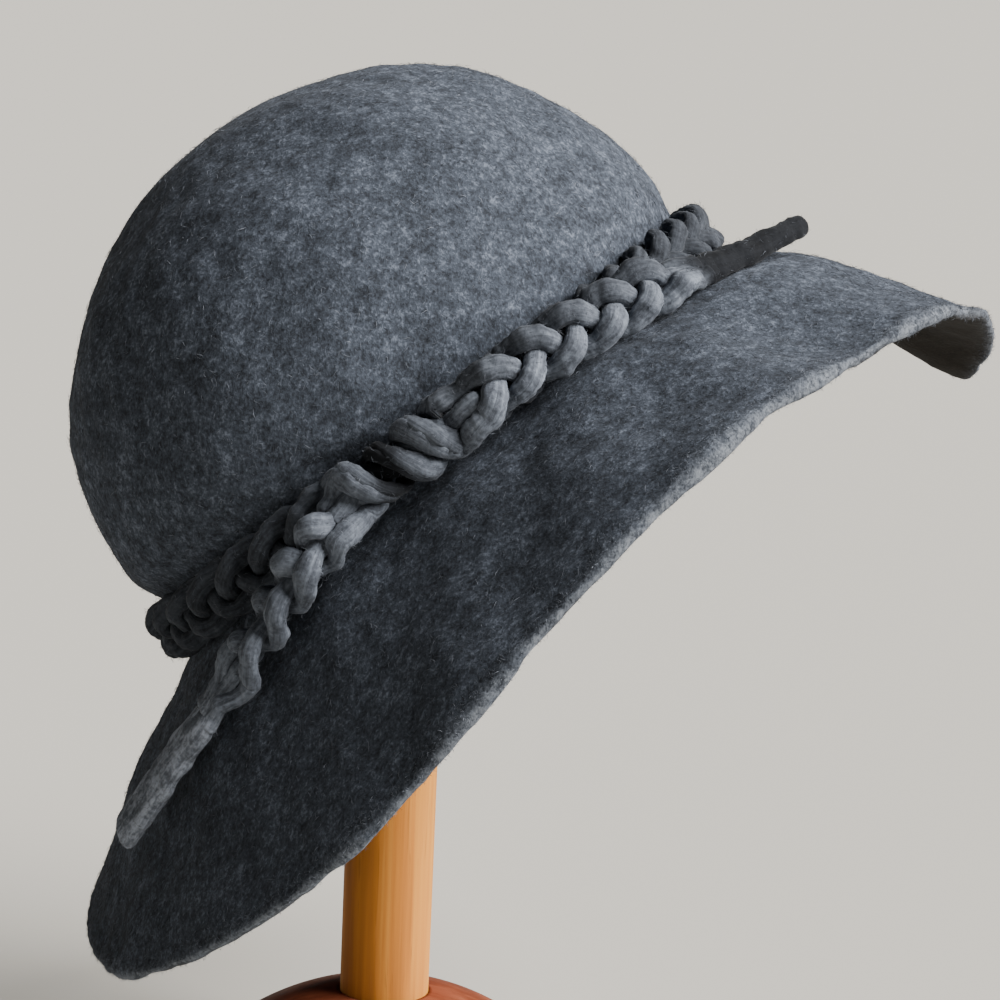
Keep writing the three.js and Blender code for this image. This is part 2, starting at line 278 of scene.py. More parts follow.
@dataclass
class Skin:
    """A closed surface: rings of points one after another, and a first and a last point that close its ends.

    Seen from outside, the columns of a ring run to the right when the rings run down. Marks are values from
    0 to 1 at the points of the rings, which materials read by name. The UV map takes the distances of the
    rings along the surface and of the columns round it, with one more than there are columns.
    """

    rings: Array
    first: Array
    last: Array
    marks: dict[str, Array] = field(default_factory=dict)
    lengthwise: Array | None = None
    round_about: Array | None = None

    def faces(self) -> tuple[Array, Array]:
        """Numbers the corners of the faces.

        Returns:
            Quads between neighbouring rings, and the triangles that close the two ends.
        """
        count, columns = self.rings.shape[:2]
        here = np.arange(count * columns).reshape(count, columns)
        there = np.roll(here, -1, axis=1)
        quads = np.stack([here[:-1], here[1:], there[1:], there[:-1]], -1).reshape(-1, 4)
        start = np.stack([np.full(columns, here.size), here[0], there[0]], -1)
        end = np.stack([np.full(columns, here.size + 1), there[-1], here[-1]], -1)
        return quads, np.concatenate([start, end])

    def normals(self) -> Array:
        """Outward normals at the points of the rings, from the slopes of the grid."""
        around = (np.roll(self.rings, -1, axis=1) - np.roll(self.rings, 1, axis=1)) / 2
        return unit(np.cross(np.gradient(self.rings, axis=0), around))

    def piece(self, name: str) -> bpy.types.Object:
        """Makes the mesh object.

        Args:
            name: name of the piece.

        Returns:
            The object, at the origin, with smooth faces that point outwards.
        """
        quads, tris = self.faces()
        points = np.concatenate([self.rings.reshape(-1, 3), self.first[None], self.last[None]]) * MM
        mesh = bpy.data.meshes.new(name)
        mesh.from_pydata(points.tolist(), [], quads.tolist() + tris.tolist())
        for mark, values in self.marks.items():
            attribute = mesh.attributes.new(mark, "FLOAT", "POINT")
            ends = [values[0].mean(), values[-1].mean()]
            attribute.data.foreach_set("value", np.append(values.ravel(), ends).astype(np.float32))
        if self.lengthwise is not None:
            self.add_uv(mesh, quads, tris)
        mesh.polygons.foreach_set("use_smooth", np.ones(len(mesh.polygons), bool))
        mesh.update()
        return add_object(name, mesh)

    def add_uv(self, mesh: bpy.types.Mesh, quads: Array, tris: Array) -> None:
        """Adds a UV map in metres: along the surface and round it, without a smear at the seam.

        Args:
            mesh: the new mesh.
            quads: corners of its quads.
            tris: corners of the triangles at its ends.
        """
        columns = self.rings.shape[1]
        ring, column = quads // columns, quads % columns
        column = np.where((column == 0) & (quads[:, :1] % columns == columns - 1), columns, column)
        flat = np.stack([self.lengthwise[ring], self.round_about[column]], -1).reshape(-1, 2)
        ends = np.repeat([self.lengthwise[0], self.lengthwise[-1]], 3 * (len(tris) // 2))
        caps = np.stack([ends, np.zeros(len(ends))], -1)
        layer = mesh.uv_layers.new(name="length_and_round")
        layer.data.foreach_set("uv", (np.concatenate([flat, caps]) * MM).astype(np.float32).ravel())


def finish_piece(obj: bpy.types.Object, material: bpy.types.Material, slot: str, *nodes: str) -> None:
    """Dresses a piece, lets it ride on the body and hides the CAD nodes that it stands for.

    Args:
        obj: the new piece.
        material: its finish.
        slot: not used.
        *nodes: CAD nodes that it replaces.
    """
    obj.data.materials.append(material)
    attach(obj, BODY)
    if nodes:
        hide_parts(*nodes)
    LOG.info("%s: %d faces", obj.name, len(obj.data.polygons))


@dataclass(frozen=True)
class CharcoalFelt:
    """Blocked wool felt: matted fibres of several greys, so the eye sees mottling, flecks and a dull sheen.

    Its fibres are drawn coarser than real wool, which is about 0.03 mm thick, so that they show.
    """

    name: str = "blocked_charcoal_wool_felt"
    greys: Stops = ((0.34, "191b20"), (0.45, "2d3138"), (0.54, "3f454f"), (0.68, "6c7482"))
    cut_edge: str = "63686f"
    cut_patchy: float = 0.85
    # Warm grey of the inner side, darkened as painted shade under the brim and inside the crown.
    inner_tone_with_painted_shade: str = "24221f"
    speck: str = "c9ccd2"
    sheen: str = "aab0ba"
    cloud_mm: float = 10.0
    mottle_mm: float = 2.8
    fleck_mm: float = 1.0
    fibre_mm: float = 0.5
    fibre_length_mm: float = 4.0
    fibre_bend: float = 0.004
    fibre_turns: tuple[tuple[float, float, float], ...] = ((0.4, 0.9, 0.3), (1.9, 0.2, 1.1))
    speck_spacing_mm: float = 34.0
    speck_mm: float = 0.7

    def material(self) -> bpy.types.Material:
        """Builds the felt from clouds, mottling, flecks and fibres, lighter where the rim was cut.

        Returns:
            The new material.
        """
        material, tree = new_material(self.name)
        place = add_node(tree, "TexCoord").outputs["Object"]
        cloud, mottle, fleck = (
            add_node(tree, "TexNoise", {"Scale": 1 / (size * MM), "Detail": detail, "Roughness": 0.6},
                     {"Vector": place}).outputs["Fac"]
            for size, detail in ((self.cloud_mm, 2.0), (self.mottle_mm, 3.0), (self.fleck_mm, 2.0)))
        # Fibres lie in two crossing directions and bend with the mottling.
        stray = add_node(tree, "TexNoise", {"Scale": 1 / (self.mottle_mm * MM)}, {"Vector": place})
        bend = add_node(tree, "Mix", {"Factor": self.fibre_bend}, {"A": place, "B": stray.outputs["Color"]},
                        data_type="VECTOR")
        across, along = 1 / (self.fibre_mm * MM), 1 / (self.fibre_length_mm * MM)
        fibres = []
        for turn in self.fibre_turns:
            run = add_node(tree, "Mapping", {"Rotation": turn, "Scale": (across, across, along)},
                           {"Vector": bend.outputs["Result"]})
            fibres.append(add_node(tree, "TexNoise", {"Scale": 1.0, "Detail": 1.0},
                                   {"Vector": run.outputs["Vector"]}).outputs["Fac"])
        fibre = add_node(tree, "Math", links=dict(enumerate(fibres)), operation="MAXIMUM").outputs[0]
        grey = blend(tree, ((cloud, 0.18), (mottle, 0.30), (fleck, 0.30), (fibre, 0.22)))
        # The inner side gets its warm grey, darkened as painted shade.
        colour = over(tree, add_ramp(tree, grey, self.greys), self.inner_tone_with_painted_shade, "under", grey)
        colour = over(tree, colour, self.cut_edge, "cut", grey, self.cut_patchy)
        colour = self.with_specks(tree, colour, place)
        bump = add_node(tree, "Bump", {"Strength": 0.55, "Distance": 0.9 * MM}, {"Height": grey})
        add_surface(tree, {
            "Roughness": 0.97, "Specular IOR Level": 0.1, "Sheen Weight": 0.07, "Sheen Roughness": 0.45,
            "Sheen Tint": linear(self.sheen),
        }, {"Base Color": colour, "Normal": bump.outputs["Normal"]})
        return material

    def with_specks(self, tree: Tree, colour: Any, place: Any) -> Any:
        """Strews a few white specks of wool over a colour.

        Args:
            tree: node tree of the material.
            colour: socket of the colour below.
            place: socket of the place on the felt.

        Returns:
            The socket of the new colour.
        """
        cells = add_node(tree, "TexVoronoi", {"Scale": 1 / (self.speck_spacing_mm * MM)}, {"Vector": place})
        size = self.speck_mm / self.speck_spacing_mm
        near = remap(tree, cells.outputs["Distance"], (0.4 * size, size), (0.8, 0.0))
        return add_node(tree, "Mix", {"B": linear(self.speck)}, {"Factor": near, "A": colour},
                        data_type="RGBA").outputs["Result"]


@dataclass(frozen=True)
class PlaitFelt:
    """Hand-rolled felt cord: paler wool with fibres along it, so the eye sees streaks and a fuzzy edge."""

    name: str = "hand_rolled_grey_felt_cord"
    greys: Stops = ((0.28, "272a2f"), (0.45, "4a4f58"), (0.58, "656c77"), (0.78, "878e9a"))
    # Painted shade for the knot's hollow, the band and the upper row of the right arm, and the darker felt
    # along the right tail.
    shade_and_dark_tail_tone: str = "191b1f"
    pale_end: str = "878e9a"
    pale_patchy: float = 0.75
    sheen: str = "c2c7cf"
    streak_mm: float = 1.1
    streak_length_mm: float = 14.0
    cloud_mm: float = 6.0

    def material(self) -> bpy.types.Material:
        """Builds the cord's felt from streaks along its length and clouds of darker wool.

        Returns:
            The new material.
        """
        material, tree = new_material(self.name)
        coords = add_node(tree, "TexCoord")
        run = add_node(tree, "Mapping",
                       {"Scale": (1 / (self.streak_length_mm * MM), 1 / (self.streak_mm * MM), 1.0)},
                       {"Vector": coords.outputs["UV"]})
        streak = add_node(tree, "TexNoise", {"Scale": 1.0, "Detail": 4.0, "Roughness": 0.65},
                          {"Vector": run.outputs["Vector"]}, noise_dimensions="2D").outputs["Fac"]
        cloud, fleck = (
            add_node(tree, "TexNoise", {"Scale": 1 / (size * MM), "Detail": 3.0},
                     {"Vector": coords.outputs["Object"]}).outputs["Fac"]
            for size in (self.cloud_mm, self.streak_mm))
        grey = blend(tree, ((streak, 0.40), (cloud, 0.32), (fleck, 0.28)))
        # The darker layer is painted shade in the knot's hollow, on the band and on the right arm's upper
        # row, and darker felt along the right tail.
        colour = over(tree, add_ramp(tree, grey, self.greys), self.shade_and_dark_tail_tone, "dark_tail_and_painted_shade", grey)
        colour = over(tree, colour, self.pale_end, "pale", grey, self.pale_patchy)
        bump = add_node(tree, "Bump", {"Strength": 0.8, "Distance": 0.8 * MM}, {"Height": grey})
        add_surface(tree, {
            "Roughness": 0.95, "Specular IOR Level": 0.12, "Sheen Weight": 0.08, "Sheen Roughness": 0.4,
            "Sheen Tint": linear(self.sheen),
        }, {"Base Color": colour, "Normal": bump.outputs["Normal"]})
        return material


@dataclass(frozen=True)
class WoolFibre:
    """Single wool fibres: each has its own grey, so the eye sees a salt-and-pepper nap that catches light."""

    name: str = "loose_grey_wool_fibres"
    greys: Stops = ((0.0, "17191d"), (0.45, "393d44"), (0.8, "737984"), (1.0, "aeb5c0"))

    def material(self) -> bpy.types.Material:
        """Builds the fibres' greys from the tone of each fibre.

        Returns:
            The new material.
        """
        material, tree = new_material(self.name)
        tone = add_node(tree, "Attribute", attribute_name="tone").outputs["Fac"]
        colour = add_ramp(tree, tone, self.greys)
        add_surface(tree, {"Roughness": 0.8, "Specular IOR Level": 0.2}, {"Base Color": colour})
        return material


class Grain(Enum):
    """Which way the grain of a turned piece runs: its length and width as shares along x, y and z."""

    UPRIGHT = (1.0, 1.0, 0.035)
    ACROSS = (0.05, 1.0, 1.0)


@dataclass(frozen=True)
class TurnedWood:
    """Turned beech: fine straight grain with short dark pores under a satin varnish with soft highlights."""

    name: str
    tones: Stops
    pore: str
    grain: Grain
    roughness: float
    coat: float = 0.02
    grain_mm: float = 3.2
    broad_grain: float = 2.6
    pore_mm: float = 0.8

    def material(self) -> bpy.types.Material:
        """Builds the wood from broad grain, fine grain and pores, all stretched along the grain.

        Returns:
            The new material.
        """
        material, tree = new_material(self.name)
        place = add_node(tree, "TexCoord").outputs["Object"]
        bands = []
        broad_mm = self.grain_mm * self.broad_grain
        for size, detail in ((broad_mm, 2.0), (self.grain_mm, 4.0), (self.pore_mm, 2.0)):
            run = add_node(tree, "Mapping", {"Scale": [share / (size * MM) for share in self.grain.value]},
                           {"Vector": place})
            bands.append(add_node(tree, "TexNoise", {"Scale": 1.0, "Detail": detail, "Distortion": 0.35},
                                  {"Vector": run.outputs["Vector"]}).outputs["Fac"])
        broad, fine, pores = bands
        tone = add_ramp(tree, blend(tree, ((broad, 0.5), (fine, 0.5))), self.tones)
        pits = remap(tree, pores, (0.62, 0.74), (0.0, 0.45))
        colour = add_node(tree, "Mix", {"B": linear(self.pore)}, {"Factor": pits, "A": tone},
                          data_type="RGBA").outputs["Result"]
        gloss = remap(tree, fine, (0.3, 0.7), (self.roughness - 0.06, self.roughness + 0.08))
        bump = add_node(tree, "Bump", {"Strength": 0.12, "Distance": 0.3 * MM}, {"Height": pores})
        add_surface(tree, {
            "IOR": 1.5, "Specular IOR Level": 0.08, "Coat Weight": self.coat, "Coat Roughness": 0.2,
        }, {"Base Color": colour, "Roughness": gloss, "Normal": bump.outputs["Normal"]})
        return material


HONEY_BEECH = TurnedWood("honey_varnished_beech", ((0.32, "8a5526"), (0.48, "a96b2c"), (0.66, "bd823a")),
                         "6b3f1c", Grain.UPRIGHT, 0.6)
BROWN_BEECH = TurnedWood("brown_stained_beech", ((0.32, "462114"), (0.5, "6a3522"), (0.68, "824934")),
                         "2f170e", Grain.ACROSS, 0.55)


@dataclass
class FeltHat:
    """Crown and brim of the hat, blocked from one piece of felt, and where it sits on its stand."""

    felt: float = 3.0
    crown_length: float = 196.0
    crown_width: float = 172.5
    crown_height: float = 118.0
    front_swell: float = 4.7
    wall_height: float = 28.0
    waist_pinch: float = 3.0
    waist_height: float = 8.0
    dome_power: float = 2.02
    crease_bend: float = 5.0
    tilt: float = 38.8
    lean: float = 6.4
    turn: float = 210.6
    crease_centre: tuple[float, float, float] = (14.6, -2.0, 202.0)
    columns: int = 300
    dome_rows: int = 56
    wall_rows: int = 8
    crease_rows: int = 8
    brim_rows: int = 60
    edge_rows: int = 6
    edge_round: float = 0.9
    ragged: tuple[Lumps, Lumps] = (Lumps(0.14, 9.0, 3), Lumps(0.1, 4.0, 4))
    ragged_radius: float = 150.0
    ragged_fade: int = 6
    swell: Lumps = Lumps(0.6, 46.0, 5)
    dents: tuple[Lumps, Lumps] = (Lumps(0.16, 11.0, 6), Lumps(0.07, 4.5, 7))
    steady_from: Span = (12.0, 40.0)
    cut_rows: float = 3.3
    cut_share: float = 1.05
    cut_uneven: Lumps = Lumps(0.35, 5.0, 8)
    brim: Table = Table(("reach", "drop", "bow"), (
        (0, 175, 63, 2.5), (30, 164, 63.5, 1.8), (60, 150, 45, 2), (90, 145, 36, 5), (106, 144, 41, 6.5),
        (120, 149, 45.5, 8), (130, 151, 51, 9), (140, 152.5, 58, 9), (150, 151.5, 66.5, 8.5),
        (160, 150, 74.5, 10), (166, 148.5, 76.5, 12), (172, 150, 60, 12), (182, 150, 53, 10),
        (200, 148, 48, 6), (225, 149, 48, 2), (250, 150, 44, 1), (270, 152, 39, 1), (300, 161, 34, 1.4),
        (330, 172, 46, 2)))

    def to_stand(self, points: Array) -> Array:
        """Carries points from the hat's own frame to where it sits: turned, tilted, leaned and moved."""
        turned = (Matrix.Rotation(math.radians(-self.lean), 3, "X")
                  @ Matrix.Rotation(math.radians(-self.tilt), 3, "Y")
                  @ Matrix.Rotation(math.radians(self.turn), 3, "Z"))
        return points @ np.array(turned).T + np.array(self.crease_centre)

    def waist(self, azimuth: Array) -> Array:
        """Distance of the outer wall from the axis under the plait: an oval, drawn in."""
        along, across = np.cos(np.radians(azimuth)), np.sin(np.radians(azimuth))
        return 1 / np.hypot(2 * along / self.crown_length, 2 * across / self.crown_width) - self.waist_pinch

    def outer_line(self, azimuth: Array) -> Array:
        """Outer line of the felt from near the top of the dome to the rim.

        The dome is a superellipse over an oval that is fuller towards the front by cos^2 of the azimuth, the
        wall eases in to the waist, the crease is a quadratic curve, and the brim is a chord that bows up by
        27/4 b t (1 - t)^2, which is highest a third of the way out.

        Args:
            azimuth: azimuths of the columns.

        Returns:
            Radius and height, shaped rows x columns x 2.
        """
        waist = self.waist(azimuth)
        wall = waist + self.waist_pinch + self.front_swell * np.maximum(np.cos(np.radians(azimuth)), 0) ** 2
        brim = self.brim.all_round()
        reach, drop, bow = (brim.at(column, azimuth) for column in brim.columns)
        chord = np.stack([reach - waist, -drop], -1)
        length = np.linalg.norm(chord, axis=-1)
        upward = np.stack([drop, reach - waist], -1) / length[:, None]
        crease = np.stack([waist, np.zeros_like(waist)], -1)

        def brim_point(part: Array) -> Array:
            """Points of the brim at a share of its width from the crease."""
            rise = 27 / 4 * bow * part * (1 - part) ** 2
            return crease + chord * part[..., None] + upward * rise[..., None]

        angle = np.radians(np.linspace(90, 0, self.dome_rows + 1)[1:, None])
        power = 2 / self.dome_power
        height = self.wall_height + (self.crown_height - self.wall_height) * np.sin(angle) ** power
        spread = wall * np.cos(angle) ** power
        dome = np.stack([spread, np.broadcast_to(height, spread.shape)], -1)
        part = np.linspace(0, 1, self.wall_rows + 1)[1:, None]
        sink = self.wall_height + (self.waist_height - self.wall_height) * part
        tuck = wall + (waist - wall) * smoothstep(part, 0, 1)
        side = np.stack([tuck, np.broadcast_to(sink, tuck.shape)], -1)
        bend_end = self.crease_bend / length
        t = np.linspace(0, 1, self.crease_rows + 1)[:, None, None]
        above = crease + np.array([0, self.crease_bend])
        fold = above * (1 - t) ** 2 + crease * 2 * t * (1 - t) + brim_point(bend_end) * t ** 2
        share = np.linspace(0, 1, self.brim_rows + 1)[1:, None]
        return np.concatenate([dome, side, fold, brim_point(bend_end + (1 - bend_end) * share)])

    def brim_row(self) -> int:
        """Number of the ring at which the crease ends and the brim starts."""
        return self.dome_rows + self.wall_rows + self.crease_rows

    def rim_row(self) -> int:
        """Number of the ring at the outer edge of the brim's upper side."""
        return self.brim_row() + self.brim_rows

    def skin(self) -> Skin:
        """Crown and brim as one wall of felt with a rounded cut edge, a little uneven, as blocked felt is.

        Returns:
            The skin, with marks for its underside and its cut edge.
        """
        azimuth = np.arange(self.columns) * 360 / self.columns
        outer = self.outer_line(azimuth)
        run = unit(np.gradient(outer, axis=0))
        inner = outer + self.felt * np.stack([run[..., 1], -run[..., 0]], -1)
        k = np.linspace(0, 1, self.edge_rows + 2)[1:-1, None, None]
        edge = outer[-1] * (1 - k) + inner[-1] * k + run[-1] * self.edge_round * np.sin(np.pi * k)
        line = np.concatenate([outer, edge, inner[::-1]])
        angle = np.radians(azimuth)
        rings = np.stack([line[..., 0] * np.cos(angle), line[..., 0] * np.sin(angle), line[..., 1]], -1)
        fade = np.linspace(0, 1, self.brim_rows) ** self.ragged_fade
        still = np.zeros(self.brim_row() + 1)
        shift = np.concatenate([still, fade, np.ones(self.edge_rows), fade[::-1], still])
        outward = np.stack([np.cos(angle), np.sin(angle), np.zeros_like(angle)], -1)
        ragged = sum(lumps.at(outward * self.ragged_radius) for lumps in self.ragged)
        rings = rings + shift[:, None, None] * (ragged[:, None] * outward)[None]
        row = np.arange(len(line))
        inner_row = len(outer) + self.edge_rows
        is_inner = smoothstep(row, inner_row - 2.0, inner_row + 1.0)
        skin = Skin(self.to_stand(rings), self.to_stand(UP * self.crown_height),
                    self.to_stand(UP * (self.crown_height - self.felt)))
        swell = self.swell.at(skin.rings) * (1 - 2 * is_inner[:, None])
        dents = sum(lumps.at(skin.rings) for lumps in self.dents)
        steady = smoothstep(line[..., 0], *self.steady_from)
        skin.rings = skin.rings + skin.normals() * ((swell + dents) * steady)[..., None]
        near_cut = np.exp(-((row - (len(outer) + (self.edge_rows - 1) / 2)) / self.cut_rows) ** 2)
        cut = np.clip(near_cut[:, None] * (self.cut_share + self.cut_uneven.at(skin.rings)), 0, 1)
        skin.marks = {"under": np.broadcast_to(is_inner[:, None], cut.shape), "cut": cut}
        return skin


@dataclass
class FeltFuzz:
    """Loose fibres on felt: closed spindles, thickest near the middle, most of them lying almost flat.

    They are drawn coarser than real wool, which is about 0.03 mm thick, so that they show from the camera.
    """

    skin: Skin
    rows: slice
    count: int
    length: Span
    lift: Span
    seed: int
    tones: Span
    thickness: float = 0.1
    girths: Span = (0.6, 1.3)
    root_depth: float = 0.2
    waist: float = 0.45
    bow: float = 0.12

    def roots(self, rng: np.random.Generator) -> tuple[Array, Array]:
        """Strews the fibres evenly over the skin's area.

        Args:
            rng: source of the seeded chances.

        Returns:
            Places and outward normals.
        """
        rings, normals = (np.concatenate([grid, grid[:, :1]], axis=1)[self.rows]
                          for grid in (self.skin.rings, self.skin.normals()))
        falling, rising = rings[1:, 1:] - rings[:-1, :-1], rings[1:, :-1] - rings[:-1, 1:]
        area = np.linalg.norm(np.cross(falling, rising), axis=-1)
        total = np.cumsum(area.ravel())
        ring, column = np.divmod(np.searchsorted(total, rng.random(self.count) * total[-1]), area.shape[1])
        down, right = rng.random((2, self.count, 1))

        def between(grid: Array) -> Array:
            """Values of a grid at the chosen places inside its cells."""
            upper, lower = (grid[i, column] * (1 - right) + grid[i, column + 1] * right
                            for i in (ring, ring + 1))
            return upper * (1 - down) + lower * down

        return between(rings), unit(between(normals))

    def piece(self, name: str) -> bpy.types.Object:
        """Makes all the fibres as one object, with a tone for each fibre.

        Args:
            name: name of the piece.

        Returns:
            The object, at the origin.
        """
        rng = np.random.default_rng(self.seed)
        place, normal = self.roots(rng)
        flat = unit(np.cross(normal, rng.normal(size=place.shape)))
        lift = np.radians(rng.uniform(*self.lift, (self.count, 1)))
        run = flat * np.cos(lift) + normal * np.sin(lift)
        length = rng.uniform(*self.length, (self.count, 1))
        foot = place - normal * self.root_depth
        side = unit(np.cross(run, rng.normal(size=place.shape)))
        other = np.cross(run, side)
        waist = foot + run * length * self.waist + side * length * self.bow
        spokes = [np.cos(turn) * side + np.sin(turn) * other for turn in np.arange(3) * 2 * np.pi / 3]
        girth = self.thickness * rng.uniform(*self.girths, (self.count, 1)) / 2
        corners = np.stack([foot, *(waist + spoke * girth for spoke in spokes), foot + run * length], axis=1)
        cones = np.array([[0, 2, 1], [0, 3, 2], [0, 1, 3], [4, 1, 2], [4, 2, 3], [4, 3, 1]])
        faces = (np.arange(self.count)[:, None, None] * 5 + cones).reshape(-1, 3)
        mesh = bpy.data.meshes.new(name)
        mesh.from_pydata((corners.reshape(-1, 3) * MM).tolist(), [], faces.tolist())
        tone = mesh.attributes.new("tone", "FLOAT", "POINT")
        tone.data.foreach_set("value", np.repeat(rng.uniform(*self.tones, self.count), 5).astype(np.float32))
        mesh.update()
        return add_object(name, mesh)


@dataclass(frozen=True)
class PlaitRun:
    """A stretch of the band that is plaited, and the turns that each strand makes in it."""

    start: float
    end: float
    turns: float

    def turned(self, azimuth: Array) -> Array:
        """Turns made up to each azimuth."""
        return self.turns * np.clip((azimuth - self.start) / (self.end - self.start), 0, 1)


@dataclass(frozen=True)
class Tail:
    """A plain end of the band: azimuths, section, share of it left at the tip, and length of the rounding."""

    root: float
    tip: float
    width: float
    thickness: float
    taper: float
    rounding: float

    def part(self, azimuth: Array) -> Array:
        """Way along the tail from 0 at its root to 1 at its tip, and 0 everywhere else."""
        return np.clip((azimuth - self.root) / (self.tip - self.root), 0, 1)


@dataclass
class FeltPlait:
    """Three felt strands plaited into a band round the crown, tied in a half knot, with two plain tails.

    The tables give the middle of the plait: out from the waist, up from the crease, and the way its flat
    side faces, as an angle from level.
    """

    hat: FeltHat
    width: float = 6.5
    thickness: float = 5.2
    swell_in_front: float = 0.14
    swing: float = 5.8
    rise: float = 3.2
    lane_swing: float = 7.0
    lane_zone: float = 5.0
    tail_neck: float = 0.5
    tail_widening: float = 5.0
    merge: float = 4.0
    merge_sink: float = 0.75
    # Shares of painted shade: on the band in the crease under the arms, and on the upper row of the right
    # arm.
    band_painted_shade: float = 0.7
    band_fade: Span = (2.0, 6.0)
    tail_fade: float = 4.0
    upper_row_painted_shade: float = 0.5
    upper_from: Span = (-0.2, 0.8)
    pale_part: float = 0.25
    hollow_azimuth: float = 52.0
    hollow_width: float = 3.6
    hollow_pinch: float = 0.42
    rings_per_degree: int = 4
    sides: int = 16
    blunt_tip: float = 0.06
    girth: float = 2.6
    uneven: Span = (0.05, 17.0)
    dents: tuple[Span, Span] = ((0.22, 7.0), (0.10, 3.0))
    knot_azimuth: float = 54.2
    knot_out: float = 11.5
    knot_up: float = 8.4
    knot_span: float = 18.0
    knot_twist: float = -540.0
    knot_radius: float = 2.7
    left_tail: Tail = Tail(root=16, tip=-3, width=13.6, thickness=6.6, taper=1.12, rounding=1.2)
    right_tail: Tail = Tail(root=473, tip=496, width=9.8, thickness=7.4, taper=0.68, rounding=1.8)
    runs: tuple[PlaitRun, ...] = (
        PlaitRun(20, 41, 7 / 6), PlaitRun(68.5, 400, 40 / 3), PlaitRun(428.5, 469, 5 / 3))
    left_arm: Table = Table(("out", "up", "face"), (
        (-3, 57.4, -30.6, 50), (6, 43, -22.2, 50), (12.5, 34.5, -16.8, 50), (16.5, 30.4, -13.4, 50),
        (20, 28, -11, 50), (25, 23.5, -6.5, 50), (31, 22.5, -1.7, 42), (39, 20, 3.8, 15),
        (45.2, 14.2, 8.4, 0)))
    round_crown: Table = Table(("out", "up", "face"), (
        (63.2, 8.8, 8.4, 0), (76, 6, 8.5, 0), (90, 6, 8.5, 0), (230, 6, 8.5, 0), (290, 6.5, 7.4, 4),
        (330, 7, 6.6, 0), (364, 7.1, 6.8, -7), (380, 7, 7.4, -8), (392, 7, 7.8, -6), (405.2, 8.8, 8.4, 0)))
    right_arm: Table = Table(("out", "up", "face"), (
        (423.2, 14.2, 8.4, 0), (428, 18.6, 9, 0), (438, 17.6, 9.8, 0), (448, 17.6, 8.5, 5),
        (458, 17.8, 6.6, 15), (469, 18.4, 4.6, 25), (476, 20, 1, 22), (484, 25, -2.8, 14),
        (496, 36.5, -6.8, 6)))

    def middle(self, azimuth: Array) -> dict[str, Array]:
        """Middle line of the plait.

        In the knot the two passes turn about one another: the middle goes round the knot's middle by the
        knot's twist, and the flat side turns with it.

        Args:
            azimuth: azimuth of each point.

        Returns:
            Out, up and face at each point, as in the tables.
        """
        start = self.knot_azimuth - self.knot_span / 2
        found = {}
        for column in self.round_crown.columns:
            left, band, right = (
                rows.at(column, azimuth) for rows in (self.left_arm, self.round_crown, self.right_arm))
            found[column] = np.select([azimuth < start, azimuth < start + 360], [left, band], right)
        for index, side in enumerate((1.0, -1.0)):
            part = (azimuth - start - 360 * index) / self.knot_span
            inside = (part >= 0) & (part < 1)
            angle = np.radians(self.knot_twist * part)
            out = self.knot_out + side * self.knot_radius * np.cos(angle)
            up = self.knot_up + side * self.knot_radius * np.sin(angle)
            found["out"] = np.where(inside, out, found["out"])
            found["up"] = np.where(inside, up, found["up"])
            found["face"] = np.where(inside, 0.0, found["face"]) + self.knot_twist * np.clip(part, 0, 1)
        return found

    def strand(self, phase: float, start: float, end: float) -> Skin:
        """One strand from end to end.

        Its middle swings across the plait by sin(a) and through it by -sin(2a), where a grows by a full turn
        for each turn of plaiting; between plaited stretches the strands lie side by side. A strand that stops
        at the root of the other one's tail sinks into it, and a strand that goes on into a tail widens there.

        Args:
            phase: share of a turn by which the strand is ahead.
            start: azimuth of its first end.
            end: azimuth of its last end.

        Returns:
            The skin of the strand.
        """
        azimuth = np.linspace(start, end, int((end - start) * self.rings_per_degree))
        middle = self.middle(azimuth)
        turns = sum(run.turned(azimuth) for run in self.runs)
        gaps = [np.maximum(np.maximum(run.start - azimuth, azimuth - run.end), 0) for run in self.runs]
        lanes = smoothstep(np.min(gaps, axis=0), 0, self.lane_zone) * np.pi / 2
        angle = 2 * np.pi * (turns + phase)
        into = np.maximum(self.left_tail.root - azimuth, azimuth - self.right_tail.root)
        sink = 1 - self.merge_sink * smoothstep(into, -self.merge, self.merge)
        across = (self.swing + (self.lane_swing - self.swing) * np.sin(lanes)) * np.sin(angle) * sink
        front = -np.cos(lanes) * np.sin(2 * angle)
        face = np.radians(middle["face"])
        out = middle["out"] - across * np.sin(face) + self.rise * front * np.cos(face)
        up = middle["up"] + across * np.cos(face) + self.rise * front * np.sin(face)
        a = np.radians(azimuth)
        radius = self.hat.waist(azimuth) + out
        outward = np.stack([np.cos(a), np.sin(a), np.zeros_like(a)], -1)
        path = outward * radius[:, None] + UP * up[:, None]
        facing = outward * np.cos(face)[:, None] + UP * np.sin(face)[:, None]
        swell = (1 + self.swell_in_front * front) * (1 - self.hollow_pinch * self.hollow(azimuth))
        # The darker mark is painted shade, and darker felt along the right tail.
        marks = {"dark_tail_and_painted_shade": self.dark_tail_and_painted_shade(azimuth, across / self.swing), "pale": self.pale(azimuth)}
        return self.tube(azimuth, path, facing, swell, marks, int(100 * phase) + 11)

    def hollow(self, azimuth: Array) -> Array:
        """Share from 0 to 1 of the hollow in the knot, pinched thinner and given painted shade: exp(-d^4),
        where d is the distance in widths.
        """
        off = [(azimuth - turn - self.hollow_azimuth) / self.hollow_width for turn in (0, 360)]
        return np.exp(-np.power(off, 4)).sum(0)

